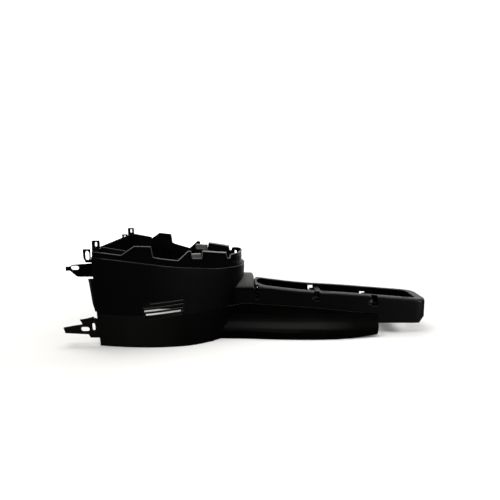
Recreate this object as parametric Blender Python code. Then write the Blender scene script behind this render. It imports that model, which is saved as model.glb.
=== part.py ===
"""Car center console without its trim: a tapered front housing, side skirts and a long rear carrier.

Metres, +Z up. The front end, towards the dashboard, is at -X, the nose at +X, and z = 0 is the floor.
"""

import math

import bmesh
import bpy
from mathutils import Matrix, Vector

for old in list(bpy.data.objects):
    bpy.data.objects.remove(old, do_unlink=True)

# Walls and fits
FIT = 0.0003
SEAM = 0.0008
HOUSING_WALL = 0.0026
SKIRT_WALL = 0.0032
CARRIER_WALL = 0.0026
SADDLE_WALL = 0.0022
TONGUE_WALL = 0.0016
TONGUE_HEIGHT = 0.008
SKIN_CROWN = 0.003
CREASE_RADIUS = 0.012

# Front housing: half widths at the step line and at the floor, from the front edge to the rear corner
TOP_PLAN = [
    (-0.451, 0.212),
    (-0.368, 0.208),
    (-0.282, 0.182),
    (-0.202, 0.142),
    (-0.145, 0.1225),
    (-0.092, 0.105),
    (-0.053, 0.075),
    (-0.038, 0.034),
]
FLOOR_PLAN = [
    (-0.439, 0.196),
    (-0.368, 0.209),
    (-0.282, 0.213),
    (-0.202, 0.201),
    (-0.154, 0.177),
    (-0.118, 0.146),
    (-0.088, 0.082),
    (-0.060, 0.036),
]
STEP_HEIGHT = [(-0.451, 0.253), (-0.347, 0.239), (-0.220, 0.214), (-0.122, 0.205), (-0.036, 0.207)]
SEAM_HEIGHT = [
    (-0.446, 0.0890),
    (-0.361, 0.0890),
    (-0.210, 0.0875),
    (-0.061, 0.0940),
    (0.020, 0.0887),
    (0.179, 0.0778),
    (0.270, 0.0684),
    (0.371, 0.0598),
]

# Rim above the step ledge
RIM_INSET = 0.009
RIM_PROFILE = [
    (-0.451, 0.267),
    (-0.435, 0.266),
    (-0.372, 0.257),
    (-0.338, 0.281),
    (-0.294, 0.278),
    (-0.290, 0.247),
    (-0.225, 0.233),
    (-0.197, 0.259),
    (-0.189, 0.259),
    (-0.186, 0.237),
    (-0.160, 0.236),
    (-0.157, 0.257),
    (-0.089, 0.249),
    (-0.087, 0.233),
    (-0.079, 0.233),
    (-0.077, 0.244),
    (-0.040, 0.247),
]
RIB_DEPTH = 0.007
RIB_THICKNESS = 0.002
RIB_STATIONS = [-0.40, -0.355, -0.33, -0.305, -0.27, -0.13]

# Double wall, trim seats, posts and clip boxes
DOUBLE_WALL_INSET = 0.024
DOUBLE_WALL_END = -0.364
DOUBLE_WALL_TOP = (0.277, 0.266)
DOUBLE_WALL_BOTTOM = 0.236
SEAT_WIDTH = 0.017
SEAT_WALL = 0.0022
LEDGE_ENDS = (-0.199, -0.161)
LEDGE_TOP = 0.235
BLOCK_END = -0.090
BLOCK_TOP = (0.2565, 0.2485)
SEAT_SKIRT = 0.016
POST_ENDS = (-0.4515, -0.4300)
POST_HEIGHT = 0.0440
POST_FOOT = 0.0005
POST_THICKNESS = 0.004
POST_SLOT = (0.0064, 0.0125)
POST_SLOT_DROP = 0.0105
BOX_THICKNESS = 0.009
FIXING_SHEET = 0.0034

# Front cross wall and lower tie
CROSS_WALL = 0.0030
CROSS_TOP = 0.277
CROSS_LOW = 0.150
CROSS_ARCH_TOP = 0.214
CROSS_FLANGE = 0.010
CROSS_RIBS = 5
CROSS_X = POST_ENDS[1] + FIT
TIE_X = -0.4280
TIE_ARM_LAP = 0.013
TIE_DEPTH = 0.018
TIE_BOTTOM = 0.028
TIE_TOP = 0.052

# Side skirts
SKIRT_END_SEAM = 0.371
SKIRT_END_FOOT = 0.361
FLARE_PLAN = [(-0.160, 0.105), (-0.100, 0.130), (-0.034, 0.135), (0.083, 0.145), (0.220, 0.144), (0.371, 0.115)]
FLARE_TOP = 0.056
FLARE_LIP = 0.024
SKIRT_LIFT = [(-0.450, 0.0), (0.230, 0.0), (0.300, 0.002), (0.371, 0.009)]

# Vent grilles
VENT_OUTLINE = [
    (-0.3215, 0.1060),
    (-0.3150, 0.0930),
    (-0.3080, 0.0770),
    (-0.2150, 0.0860),
    (-0.2040, 0.1000),
    (-0.2010, 0.1180),
    (-0.2070, 0.1350),
    (-0.3110, 0.1250),
]
VENT_TILT = math.radians(3.6)
VENT_FIRST = 0.0935
VENT_PITCH = 0.0103
VENT_SLOT = 0.0054
VENT_SLOT_ENDS = [(-0.3085, -0.2140), (-0.3125, -0.2085), (-0.3145, -0.2075), (-0.2960, -0.2095)]
GRILLE_WALL = 0.0050
GRILLE_RECESS = 0.0012

# Rear carrier: rails, opening, nose and side walls
RAIL_HALF_WIDTH = 0.074
RAIL_FLANGE = 0.020
OPENING_HALF_WIDTH = RAIL_HALF_WIDTH - RAIL_FLANGE
RAIL_HEIGHT = [(0.000, 0.1470), (0.104, 0.1340), (0.174, 0.1275), (0.232, 0.1245), (0.525, 0.1020)]
RAIL_SHOULDER = 0.009
OPENING_LIP = 0.003
OPENING_WALL = 0.036
OPENING_FRONT = 0.0020
OPENING_FRONT_REACH = 0.030
OPENING_REAR = 0.495
OPENING_REAR_REACH = 0.022
NOSE_END = 0.525
NOSE_BEVEL = (0.022, 0.018)
CARRIER_BOTTOM = 0.030
RING_FRONT_BOTTOM = 0.096

# Notches in the side walls, windows and rail slots: start, length, heights
NOTCHES = [(-0.0020, 0.0085, 0.1040), (0.1770, 0.0155, 0.0985), (0.3510, 0.0175, 0.0820)]
NOTCH_DEPTH = 0.010
NOTCH_LEDGE = 0.0025
WINDOWS = [
    (-0.0020, 0.0085, 0.1160, 0.1340),
    (0.1715, 0.0160, 0.1050, 0.1210),
    (0.3420, 0.0165, 0.0890, 0.1000),
]
RAIL_SLOTS = [(0.202, 0.026), (0.442, 0.022)]
RAIL_SLOT_WIDTH = 0.004

# Saddle and the deck below it
SADDLE_OVERHANG = 0.002
SADDLE_HALF_WIDTH = RAIL_HALF_WIDTH + SADDLE_OVERHANG
SADDLE_EDGE = 0.141
SADDLE_CROWN = 0.171
SADDLE_ENDS = (-0.080, -0.0065)
SADDLE_ROLL = 0.010
SADDLE_ROLL_DROP = 0.68
RING_FRONT = SADDLE_ENDS[1] + SEAM
DECK_FRONT = -0.105
DECK_REAR = SADDLE_ENDS[1] - SADDLE_ROLL - FIT
HOUSING_TURN = SADDLE_HALF_WIDTH + HOUSING_WALL + 2 * FIT

# Cross members between the rails and the mount plate in the nose
CROSS_MEMBERS = [(0.190, 0.016, 0.022, 0.010), (0.361, 0.018, 0.016, 0.030)]
MEMBER_WALL = 0.0025
MOUNT_PLATE_ENDS = (0.385, 0.445)
MOUNT_PLATE_WALL = 0.003
MOUNT_HOLE = 0.0045
MOUNT_BOSS = 0.014
MOUNT_HOLE_SPACING = 0.060

# Fixing arms, seen from the side
UPPER_ARM = [
    (-0.4120, 0.1985),
    (-0.4120, 0.2340),
    (-0.4500, 0.2360),
    (-0.5040, 0.2320),
    (-0.5110, 0.2270),
    (-0.5225, 0.2265),
    (-0.5225, 0.2150),
    (-0.5110, 0.2155),
    (-0.4930, 0.1995),
    (-0.4870, 0.1985),
]
UPPER_HOLE = (-0.497, 0.2235, 0.022, 0.011)
LOWER_ARM = [
    (TIE_X + TIE_ARM_LAP, 0.0220),
    (TIE_X + TIE_ARM_LAP, 0.0750),
    (-0.4530, 0.0800),
    (-0.4560, 0.0845),
    (-0.4640, 0.0815),
    (-0.4730, 0.0790),
    (-0.4940, 0.0755),
    (-0.4870, 0.0620),
    (-0.5413, 0.0522),
    (-0.5370, 0.0352),
    (-0.4720, 0.0320),
    (-0.4670, 0.0220),
]
LOWER_HOLE = (-0.4803, 0.0476, 0.0245, 0.0122)
LOWER_SLOT = (-0.4562, 0.0545, 0.0085, 0.0210)
RETURN_FLANGE = [(-0.4250, 0.0990), (-0.4485, 0.0990), (-0.4540, 0.1200), (-0.4630, 0.1930), (-0.4250, 0.1930)]
FRONT_EDGE = -0.4430
CLIP_BOX = [
    (-0.4330, 0.2380),
    (-0.4330, 0.2460),
    (POST_ENDS[0] - 0.004, 0.2460),
    (POST_ENDS[0] - 0.004, 0.2740),
    (-0.4740, 0.2740),
    (-0.4730, 0.2500),
    (-0.4670, 0.2380),
]
CLIP_SLOT = (-0.4630, 0.2570, 0.013, 0.026)

# Shades: colour, roughness
PLASTIC = {
    "housing": ((0.018, 0.018, 0.019), 0.62),
    "skirt": ((0.024, 0.024, 0.023), 0.58),
    "carrier": ((0.016, 0.017, 0.020), 0.48),
    "saddle": ((0.060, 0.060, 0.060), 0.55),
    "structure": ((0.012, 0.012, 0.013), 0.66),
    "grille": ((0.014, 0.014, 0.015), 0.50),
    "bracket": ((0.015, 0.015, 0.014), 0.60),
}


def read_table(table, x):
    """Value at x on straight lines between (x, value) pairs."""
    if x <= table[0][0]:
        return table[0][1]
    for (xa, a), (xb, b) in zip(table, table[1:]):
        if x <= xb:
            return a + (b - a) * (x - xa) / (xb - xa)
    return table[-1][1]


def read_curve(table, x):
    """Value at x on a smooth curve through (x, value) pairs."""
    if x <= table[0][0] or x >= table[-1][0]:
        return read_table(table, x)
    steps = [(b - a) / (xb - xa) for (xa, a), (xb, b) in zip(table, table[1:])]
    slopes = [steps[0]] + [(a + b) / 2 for a, b in zip(steps, steps[1:])] + [steps[-1]]
    k = max(i for i, (start, _) in enumerate(table) if start <= x)
    (xa, a), (xb, b) = table[k], table[k + 1]
    width = xb - xa
    t = (x - xa) / width
    rise = a + (b - a) * t * t * (3 - 2 * t)
    return rise + width * t * (1 - t) * (slopes[k] * (1 - t) - slopes[k + 1] * t)


def mirrored(plan):
    """The whole outline: near side, round the rear and back along the far side."""
    near = [Vector((x, -half)) for x, half in plan]
    return near + [Vector((x, half)) for x, half in reversed(plan)]


TOP_LINE = mirrored(TOP_PLAN)
FLOOR_LINE = mirrored(FLOOR_PLAN)
PATH_END = len(TOP_LINE) - 1.0
PATH_REAR = PATH_END / 2


def on_line(line, s):
    """Point at parameter s of a Catmull-Rom curve through the points."""
    s = min(max(s, 0.0), len(line) - 1.0)
    i = min(int(s), len(line) - 2)
    t = s - i
    b, c = line[i], line[i + 1]
    a = line[i - 1] if i else b * 2 - c
    d = line[i + 2] if i + 2 < len(line) else c * 2 - b
    return (b * 2 + (c - a) * t + (a * 2 - b * 5 + c * 4 - d) * t * t + (b * 3 - a - c * 3 + d) * t**3) / 2


def step_height(s):
    return read_table(STEP_HEIGHT, on_line(TOP_LINE, s).x)


def ruled_point(s, z):
    share = z / step_height(s)
    return on_line(FLOOR_LINE, s).lerp(on_line(TOP_LINE, s), share)


def outward(s, z):
    along = ruled_point(min(s + 0.01, PATH_END), z) - ruled_point(max(s - 0.01, 0.0), z)
    return Vector((along.y, -along.x)).normalized()


def skin(s, z, inset=0.0):
    """Plan point of the housing's outer skin at height z, moved inwards by inset."""
    share = z / step_height(s)
    bulge = SKIN_CROWN * 4 * share * (1 - share)
    return ruled_point(s, z) + outward(s, z) * (bulge - inset)


def path_at(x, z, inset=0.0):
    """Parameter on the near side where the skin crosses x."""
    low, high = 0.0, PATH_REAR
    for _ in range(30):
        mid = (low + high) / 2
        if skin(mid, z, inset).x < x:
            low = mid
        else:
            high = mid
    return (low + high) / 2


def skin_half_width(x, z, inset=0.0):
    if x >= skin(PATH_REAR, z, inset).x:
        return 0.0
    return -skin(path_at(x, z, inset), z, inset).y


def saddle_height(y):
    """Crowned bridge: a superellipse from edge to edge."""
    share = min(abs(y) / SADDLE_HALF_WIDTH, 1.0)
    return SADDLE_EDGE + (SADDLE_CROWN - SADDLE_EDGE) * (1 - share**2.3) ** 0.75


def material_for(kind):
    material = bpy.data.materials.get(kind)
    if material is None:
        colour, roughness = PLASTIC[kind]
        material = bpy.data.materials.new(kind)
        material.use_nodes = True
        shader = material.node_tree.nodes["Principled BSDF"]
        shader.inputs["Base Color"].default_value = (*colour, 1.0)
        shader.inputs["Roughness"].default_value = roughness
        shader.inputs["Metallic"].default_value = 0.0
    return material


def add_object(name, mesh_work, kind=None):
    bmesh.ops.recalc_face_normals(mesh_work, faces=mesh_work.faces)
    mesh = bpy.data.meshes.new(name)
    mesh_work.to_mesh(mesh)
    mesh_work.free()
    item = bpy.data.objects.new(name, mesh)
    bpy.context.scene.collection.objects.link(item)
    if kind:
        mesh.materials.append(material_for(kind))
        mesh.shade_smooth()
        mesh.set_sharp_from_angle(angle=math.radians(32))
    else:
        item.hide_render = True
        item.display_type = "WIRE"
    return item


def add_shell(name, outer, inner, kind=None, loop=False):
    """Closed sheet between two matching grids of points, stations by rows."""
    work = bmesh.new()
    outside = [[work.verts.new(p) for p in row] for row in outer]
    inside = [[work.verts.new(p) for p in row] for row in inner]
    count, rows = len(outer), len(outer[0])
    pairs = [(i, (i + 1) % count) for i in range(count if loop else count - 1)]
    for i, k in pairs:
        for j in range(rows - 1):
            work.faces.new((outside[i][j], outside[k][j], outside[k][j + 1], outside[i][j + 1]))
            work.faces.new((inside[i][j + 1], inside[k][j + 1], inside[k][j], inside[i][j]))
        work.faces.new((inside[i][0], inside[k][0], outside[k][0], outside[i][0]))
        work.faces.new((outside[i][-1], outside[k][-1], inside[k][-1], inside[i][-1]))
    if not loop:
        for i in (0, count - 1):
            for j in range(rows - 1):
                work.faces.new((outside[i][j], outside[i][j + 1], inside[i][j + 1], inside[i][j]))
    return add_object(name, work, kind)


def add_prism(name, near, far, kind=None):
    """Closed prism between two matching outlines."""
    work = bmesh.new()
    first = [work.verts.new(p) for p in near]
    second = [work.verts.new(p) for p in far]
    work.faces.new(first)
    work.faces.new(list(reversed(second)))
    for i in range(len(first)):
        k = (i + 1) % len(first)
        work.faces.new((first[i], second[i], second[k], first[k]))
    return add_object(name, work, kind)


def add_block(name, low, high, kind=None):
    corners = [(low[0], low[1]), (high[0], low[1]), (high[0], high[1]), (low[0], high[1])]
    return add_prism(name, [(x, y, low[2]) for x, y in corners], [(x, y, high[2]) for x, y in corners], kind)


def side_prism(name, outline, y_near, y_far, kind=None):
    """Prism of an outline seen from the side, from one y to another."""
    return add_prism(name, [(x, y_near, z) for x, z in outline], [(x, y_far, z) for x, z in outline], kind)


def oblong(x, z, length, height, steps=6):
    """Outline of a slot with round ends, seen from the side."""
    upright = height > length
    long_side, short_side = (height, length) if upright else (length, height)
    reach, radius = (long_side - short_side) / 2, short_side / 2
    points = []
    for k in range(2 * steps + 2):
        side = 1 if k <= steps else -1
        angle = math.pi * ((k % (steps + 1)) / steps - 0.5) + (0 if side > 0 else math.pi)
        u, v = side * reach + radius * math.cos(angle), radius * math.sin(angle)
        points.append((x - v, z + u) if upright else (x + u, z + v))
    return points


def combine(target, tool, operation):
    """Puts the tool with the others that work on this piece in the same way."""
    label = f"{target.name} {operation.lower()}"
    tools = bpy.data.collections.get(label)
    if tools is None:
        tools = bpy.data.collections.new(label)
        bpy.context.scene.collection.children.link(tools)
        step = target.modifiers.new(operation.lower(), "BOOLEAN")
        step.operation = operation
        step.solver = "EXACT"
        step.operand_type = "COLLECTION"
        step.collection = tools
        if operation == "UNION":
            target.modifiers.move(len(target.modifiers) - 1, 0)
    bpy.context.scene.collection.objects.unlink(tool)
    tools.objects.link(tool)
    return target


def cut_from(target, tool):
    return combine(target, tool, "DIFFERENCE")


def join_to(target, tool):
    return combine(target, tool, "UNION")


def spread(start, end, count):
    return [start + (end - start) * k / (count - 1) for k in range(count)]


def both_sides(near_values):
    """Path parameters of the near side with their mirror images on the far side."""
    ordered = sorted(near_values)
    kept = [ordered[0]]
    for s in ordered[1:]:
        if s - kept[-1] > 0.004:
            kept.append(s)
    return kept + [PATH_END - s for s in reversed(kept) if PATH_END - s > kept[-1] + 0.004]


def housing_low(s):
    """Lower edge of the housing: the seam at the sides, the saddle's crown at the rear."""
    point = skin(s, SADDLE_EDGE)
    if abs(point.y) > HOUSING_TURN:
        return read_curve(SEAM_HEIGHT, ruled_point(s, SADDLE_EDGE * 0.7).x) + SEAM / 2
    return saddle_height(max(abs(point.y) - HOUSING_WALL, 0.0)) + SEAM


def rim_half_width(x, inset):
    return skin_half_width(x, read_table(STEP_HEIGHT, x), inset)


def path_at_half_width(half, z):
    low, high = path_at(-0.15, z), PATH_REAR
    for _ in range(30):
        mid = (low + high) / 2
        if -skin(mid, z).y > half:
            low = mid
        else:
            high = mid
    return (low + high) / 2


def build_housing():
    rim_breaks = [path_at(x, 0.22, RIM_INSET) for x, _ in RIM_PROFILE[1:-1]]
    filler = spread(0.0, PATH_REAR, 34)
    turn = [path_at_half_width(HOUSING_TURN + step, SADDLE_EDGE) for step in (0.0008, -0.0001)]
    filler += spread(turn[1] + 0.05, PATH_REAR, 8)
    clear = [s for s in filler if min(abs(s - b) for b in rim_breaks + turn) > 0.035]
    stations = both_sides(rim_breaks + turn + clear + [0.0])
    outer, inner = [], []
    for s in stations:
        near_s = min(s, PATH_END - s)
        top = step_height(s)
        low = housing_low(s)
        rim_top = read_table(RIM_PROFILE, skin(near_s, top, RIM_INSET).x)
        heights = spread(low, top - 0.0022, 5)
        outside = [(*skin(s, z), z) for z in heights]
        outside += [(*skin(s, top, 0.0008), top - 0.0006), (*skin(s, top, 0.0026), top)]
        outside += [(*skin(s, top, RIM_INSET), top), (*skin(s, top, RIM_INSET), rim_top)]
        under = top - HOUSING_WALL
        inside = [(*skin(s, z, HOUSING_WALL), z) for z in spread(low, under - 0.0030, 5)]
        inside.append((*skin(s, top, HOUSING_WALL + 0.0004), under - 0.0010))
        inside.append((*skin(s, top, HOUSING_WALL + 0.0018), under))
        inside += [
            (*skin(s, top, RIM_INSET + HOUSING_WALL), under),
            (*skin(s, top, RIM_INSET + HOUSING_WALL), rim_top),
        ]
        outer.append(outside)
        inner.append(inside)
    housing = add_shell("front_housing", outer, inner, "housing")
    for number, x in enumerate(RIB_STATIONS):
        s = path_at(x, 0.18)
        low, high = read_curve(SEAM_HEIGHT, x) + 0.014, step_height(s) - 0.012
        if VENT_OUTLINE[0][0] < x < VENT_OUTLINE[5][0]:
            low = VENT_OUTLINE[6][1] + 0.018
        for side in (-1, 1):
            root, tip = HOUSING_WALL - 0.0006, HOUSING_WALL + RIB_DEPTH
            rows = [(z, skin(s, z, root), skin(s, z, tip)) for z in spread(low, high, 4)]
            strip = [(a.x, side * -a.y, z) for z, a, _ in rows]
            strip += [(b.x, side * -b.y, z) for z, _, b in reversed(rows)]
            shift = RIB_THICKNESS / 2
            rib = add_prism(
                f"rib_form_{number}_{side}",
                [(x_at - shift, y, z) for x_at, y, z in strip],
                [(x_at + shift, y, z) for x_at, y, z in strip],
            )
            join_to(housing, rib)
    for side in (-1, 1):
        vent = side_prism(f"housing_vent_form_{side}", VENT_OUTLINE, side * 0.15, side * 0.26)
        cut_from(housing, vent)
        for k, along in enumerate((-0.066, -0.052)):
            half = skin_half_width(along, 0.24, RIM_INSET)
            slot = add_block(
                f"corner_slot_form_{k}_{side}",
                (along - 0.003, side * half - 0.008, 0.219),
                (along + 0.003, side * half + 0.008, 0.234),
            )
            cut_from(housing, slot)
    return housing


def flare_half_width(x, z):
    """S-shaped lower side behind the housing: upright at the carrier, swept out to the floor."""
    base = RAIL_HALF_WIDTH + FIT + SKIRT_WALL
    foot = read_curve(FLARE_PLAN, x)
    share = min(max((z - FLARE_LIP) / (FLARE_TOP - FLARE_LIP), 0.0), 1.0)
    sweep = 1 - share * share * (3 - 2 * share)
    return base + (foot - base) * sweep


def skirt_half_width(x, z):
    """The larger of the housing's bulge and the flare, with a filleted crease."""
    seam = read_curve(SEAM_HEIGHT, x)
    a, b = skin_half_width(x, z), flare_half_width(x, z)
    fillet = CREASE_RADIUS * max(1 - z / seam, 0.0) + 0.0004
    return (a + b + math.hypot(a - b, fillet)) / 2


def skirt_point(x_share, z_share, lift):
    x_front = skin(0.0, z_share * SEAM_HEIGHT[0][1]).x
    x_rear = SKIRT_END_FOOT + (SKIRT_END_SEAM - SKIRT_END_FOOT) * z_share
    x = x_front + (x_rear - x_front) * x_share
    low = max(read_curve(SKIRT_LIFT, x), 0.0)
    z = low + (read_curve(SEAM_HEIGHT, x) - SEAM / 2 - low) * z_share + lift
    return Vector((x, -skirt_half_width(x, z), z))


def build_skirt(side, name):
    along = spread(0.0, 0.39, 15) + spread(0.408, 0.50, 9) + spread(0.54, 1.0, 10)
    up = spread(0.0, 1.0, 9)
    outer, inner = [], []
    for a in along:
        outside, inside = [], []
        for b in up:
            point = skirt_point(a, b, 0.0)
            ahead = skirt_point(min(a + 0.004, 1.0), b, 0.0) - skirt_point(max(a - 0.004, 0.0), b, 0.0)
            above = skirt_point(a, min(b + 0.02, 1.0), 0.0) - skirt_point(a, max(b - 0.02, 0.0), 0.0)
            normal = ahead.cross(above).normalized()
            if normal.y > 0:
                normal = -normal
            back = point - normal * SKIRT_WALL
            if b == 0.0:
                back.z = point.z
            outside.append((point.x, side * -point.y, point.z))
            inside.append((back.x, side * -back.y, back.z))
        outer.append(outside)
        inner.append(inside)
    skirt = add_shell(name, outer, inner, "skirt")
    outer, inner = [], []
    for x in spread(-0.436, -0.100, 22):
        seam = read_curve(SEAM_HEIGHT, x)
        heights = spread(seam - 0.010, seam + TONGUE_HEIGHT, 3)
        depth = HOUSING_WALL + FIT
        outer.append([(x, side * skin_half_width(x, z, depth), z) for z in heights])
        inner.append([(x, side * skin_half_width(x, z, depth + TONGUE_WALL), z) for z in heights])
    join_to(skirt, add_shell(f"tongue_form_{side}", outer, inner))
    cut_from(skirt, side_prism(f"skirt_vent_form_{side}", VENT_OUTLINE, side * 0.15, side * 0.26))
    return skirt


def shrink(outline, distance):
    """Outline moved towards its middle by about one distance on each side."""
    cx = sum(x for x, _ in outline) / len(outline)
    cz = sum(z for _, z in outline) / len(outline)
    wide = max(x for x, _ in outline) - min(x for x, _ in outline)
    high = max(z for _, z in outline) - min(z for _, z in outline)
    fx, fz = 1 - 2 * distance / wide, 1 - 2 * distance / high
    return [(cx + (x - cx) * fx, cz + (z - cz) * fz) for x, z in outline]


def build_grille(side, name):
    """Curved insert that follows the skin, with slots rising towards the rear."""
    left, right = VENT_OUTLINE[0][0] - 0.004, VENT_OUTLINE[5][0] + 0.004
    low, high = VENT_OUTLINE[2][1] - 0.004, VENT_OUTLINE[6][1] + 0.004
    outer, inner = [], []
    for x in spread(left, right, 8):
        heights = spread(low, high, 5)
        outer.append([(x, side * skin_half_width(x, z, GRILLE_RECESS), z) for z in heights])
        inner.append([(x, side * skin_half_width(x, z, GRILLE_RECESS + GRILLE_WALL), z) for z in heights])
    grille = add_shell(name, outer, inner, "grille")
    keep = side_prism(f"grille_form_{side}", shrink(VENT_OUTLINE, FIT), side * 0.15, side * 0.26)
    combine(grille, keep, "INTERSECT")
    middle_x = (left + right) / 2
    for k, (front, rear) in enumerate(VENT_SLOT_ENDS):
        outline = []
        for x, sign in ((front, -1), (rear, -1), (rear, 1), (front, 1)):
            z = VENT_FIRST + k * VENT_PITCH + (x - middle_x) * math.tan(VENT_TILT)
            outline.append((x, z + sign * VENT_SLOT / 2))
        cut_from(grille, side_prism(f"slot_form_{k}_{side}", outline, side * 0.15, side * 0.26))
    return grille


def build_double_wall(side, name):
    outer, inner = [], []
    start = CROSS_X + CROSS_WALL + FIT
    for x in spread(start, DOUBLE_WALL_END, 6):
        share = (x - start) / (DOUBLE_WALL_END - start)
        top = DOUBLE_WALL_TOP[0] + (DOUBLE_WALL_TOP[1] - DOUBLE_WALL_TOP[0]) * share
        reach = RIM_INSET + HOUSING_WALL + FIT
        ends = [(reach, DOUBLE_WALL_BOTTOM), (DOUBLE_WALL_INSET, DOUBLE_WALL_BOTTOM), (DOUBLE_WALL_INSET, top)]
        rows = [(x, side * rim_half_width(x, d), z) for d, z in ends]
        wall = HOUSING_WALL
        backs = [(reach, DOUBLE_WALL_BOTTOM - wall)]
        backs += [(DOUBLE_WALL_INSET + wall, DOUBLE_WALL_BOTTOM - wall), (DOUBLE_WALL_INSET + wall, top)]
        outer.append(rows)
        inner.append([(x, side * rim_half_width(x, d), z) for d, z in backs])
    return add_shell(name, outer, inner, "structure")


def build_trim_seat(side, name):
    """Stepped channel behind the rim: a low ledge, then a raised block."""
    start, end = LEDGE_ENDS[0], BLOCK_END
    stations = [(x, LEDGE_TOP) for x in spread(start, LEDGE_ENDS[1], 5)]
    block_start = LEDGE_ENDS[1] + 0.003
    for x in spread(block_start, end, 6):
        share = (x - block_start) / (end - block_start)
        stations.append((x, BLOCK_TOP[0] + (BLOCK_TOP[1] - BLOCK_TOP[0]) * share))
    near = RIM_INSET + HOUSING_WALL + 3 * FIT
    far = near + SEAT_WIDTH
    outer, inner = [], []
    for x, top in stations:
        foot = LEDGE_TOP - SEAT_SKIRT
        rows = [(near, foot), (near, top - 0.0012), (near + 0.0012, top)]
        rows += [(far - 0.0012, top), (far, top - 0.0012), (far, foot)]
        wall = SEAT_WALL
        backs = [(near + wall, foot), (near + wall, top - wall - 0.0006), (near + wall + 0.0006, top - wall)]
        backs += [(far - wall - 0.0006, top - wall), (far - wall, top - wall - 0.0006), (far - wall, foot)]
        outer.append([(x, side * rim_half_width(x, d), z) for d, z in rows])
        inner.append([(x, side * rim_half_width(x, d), z) for d, z in backs])
    return add_shell(name, outer, inner, "structure")


def build_corner_post(side, name):
    """Upright slotted tab that stands on the step ledge behind the rim's front end."""
    middle = sum(POST_ENDS) / 2
    foot = STEP_HEIGHT[0][1] + POST_FOOT
    top = foot + POST_HEIGHT
    outside = skin_half_width(middle, foot, RIM_INSET + HOUSING_WALL + FIT)
    inside = outside - POST_THICKNESS
    outline = [(POST_ENDS[0], foot), (POST_ENDS[1], foot), (POST_ENDS[1], top - 0.002)]
    outline += [(POST_ENDS[1] - 0.002, top), (POST_ENDS[0] + 0.002, top), (POST_ENDS[0], top - 0.002)]
    post = side_prism(name, outline, side * inside, side * outside, "bracket")
    window = oblong(middle + 0.001, top - POST_SLOT_DROP, *POST_SLOT)
    ends = (side * (inside - 0.01), side * (outside + 0.01))
    return cut_from(post, side_prism(f"post_slot_form_{side}", window, *ends))


def hug_skin(outline, side, depth, thickness, station_x):
    """Side outline laid against the inside of the skin, leaning with it."""
    near, far = [], []
    for x, z in outline:
        half = skin_half_width(station_x, z, depth)
        near.append((x, side * (half - thickness), z))
        far.append((x, side * half, z))
    return near, far


def build_upper_arm(side, name):
    near, far = hug_skin(UPPER_ARM, side, HOUSING_WALL + FIT, FIXING_SHEET, -0.440)
    arm = add_prism(name, near, far, "bracket")
    hole = oblong(*UPPER_HOLE)
    cut_from(arm, side_prism(f"upper_hole_form_{side}", hole, side * 0.17, side * 0.24))
    end = CROSS_X - 2 * FIT
    rib = [(-0.486, 0.2000), (-0.486, 0.2030), (end, 0.2030), (end, 0.2000)]
    near, far = hug_skin(rib, side, 0.0050, 0.011, -0.440)
    return join_to(arm, add_prism(f"upper_rib_form_{side}", near, far))


def build_lower_arm(side, name):
    near, far = hug_skin(LOWER_ARM, side, SKIRT_WALL + 2 * FIT, FIXING_SHEET, FRONT_EDGE)
    arm = add_prism(name, near, far, "bracket")
    cut_from(arm, side_prism(f"lower_hole_form_{side}", oblong(*LOWER_HOLE), side * 0.16, side * 0.24))
    cut_from(arm, side_prism(f"lower_slot_form_{side}", oblong(*LOWER_SLOT), side * 0.16, side * 0.24))
    rib = [(-0.533, 0.0365), (-0.533, 0.0390), (-0.476, 0.0362), (-0.476, 0.0337)]
    near, far = hug_skin(rib, side, 0.0050, 0.012, FRONT_EDGE)
    return join_to(arm, add_prism(f"lower_rib_form_{side}", near, far))


def build_return_flange(side, name):
    near, far = hug_skin(RETURN_FLANGE, side, HOUSING_WALL + 2 * FIT, FIXING_SHEET, FRONT_EDGE)
    flange = add_prism(name, near, far, "structure")
    for k, z in enumerate((0.115, 0.142, 0.169)):
        end = CROSS_X - 2 * FIT
        rib = [(-0.450, z), (-0.450, z + 0.002), (end, z + 0.002), (end, z)]
        near, far = hug_skin(rib, side, 0.0050, 0.009, FRONT_EDGE)
        join_to(flange, add_prism(f"return_rib_form_{k}_{side}", near, far))
    return flange


def build_clip_box(side, name):
    half = skin_half_width(-0.440, 0.245, HOUSING_WALL + FIT) - 0.0006
    half = min(half, skin_half_width(-0.440, 0.250, HOUSING_WALL + FIT))
    outline = CLIP_BOX
    box = side_prism(name, outline, side * (half - BOX_THICKNESS), side * half, "bracket")
    hole = [(x, z) for x, z in oblong(*CLIP_SLOT)]
    return cut_from(box, side_prism(f"clip_slot_form_{side}", hole, side * 0.16, side * 0.24))


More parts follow.
